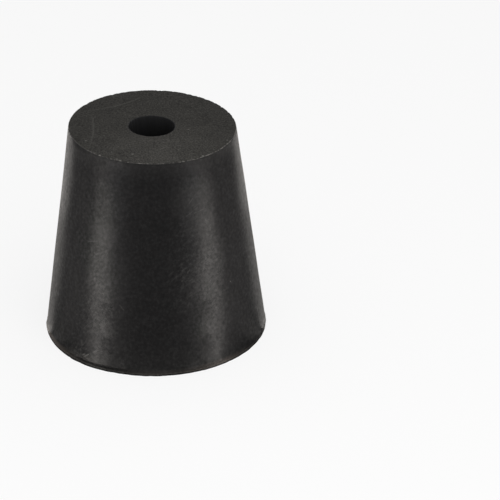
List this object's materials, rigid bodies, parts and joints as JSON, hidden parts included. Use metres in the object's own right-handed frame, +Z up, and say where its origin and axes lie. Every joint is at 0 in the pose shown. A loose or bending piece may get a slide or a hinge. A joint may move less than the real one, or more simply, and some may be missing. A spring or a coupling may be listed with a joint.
{
  "type": "rubber stopper",
  "caption": "Tapered black rubber laboratory stopper with a tube bore through its axis and a trimmed lip round its wide end.",
  "frame": {"origin": "centre of the wide face, on the surface that the stopper stands on", "axes": "+Z up the bore, from the wide face to the narrow face; X and Y lie in the wide face"},
  "size_m": [0.0242, 0.0242, 0.024],
  "materials": {
    "rubber": "moulded satin side, fine matte ends, dark bore"
  },
  "bodies": {
    "root": {"stopper": "rubber"}
  },
  "joints": []
}
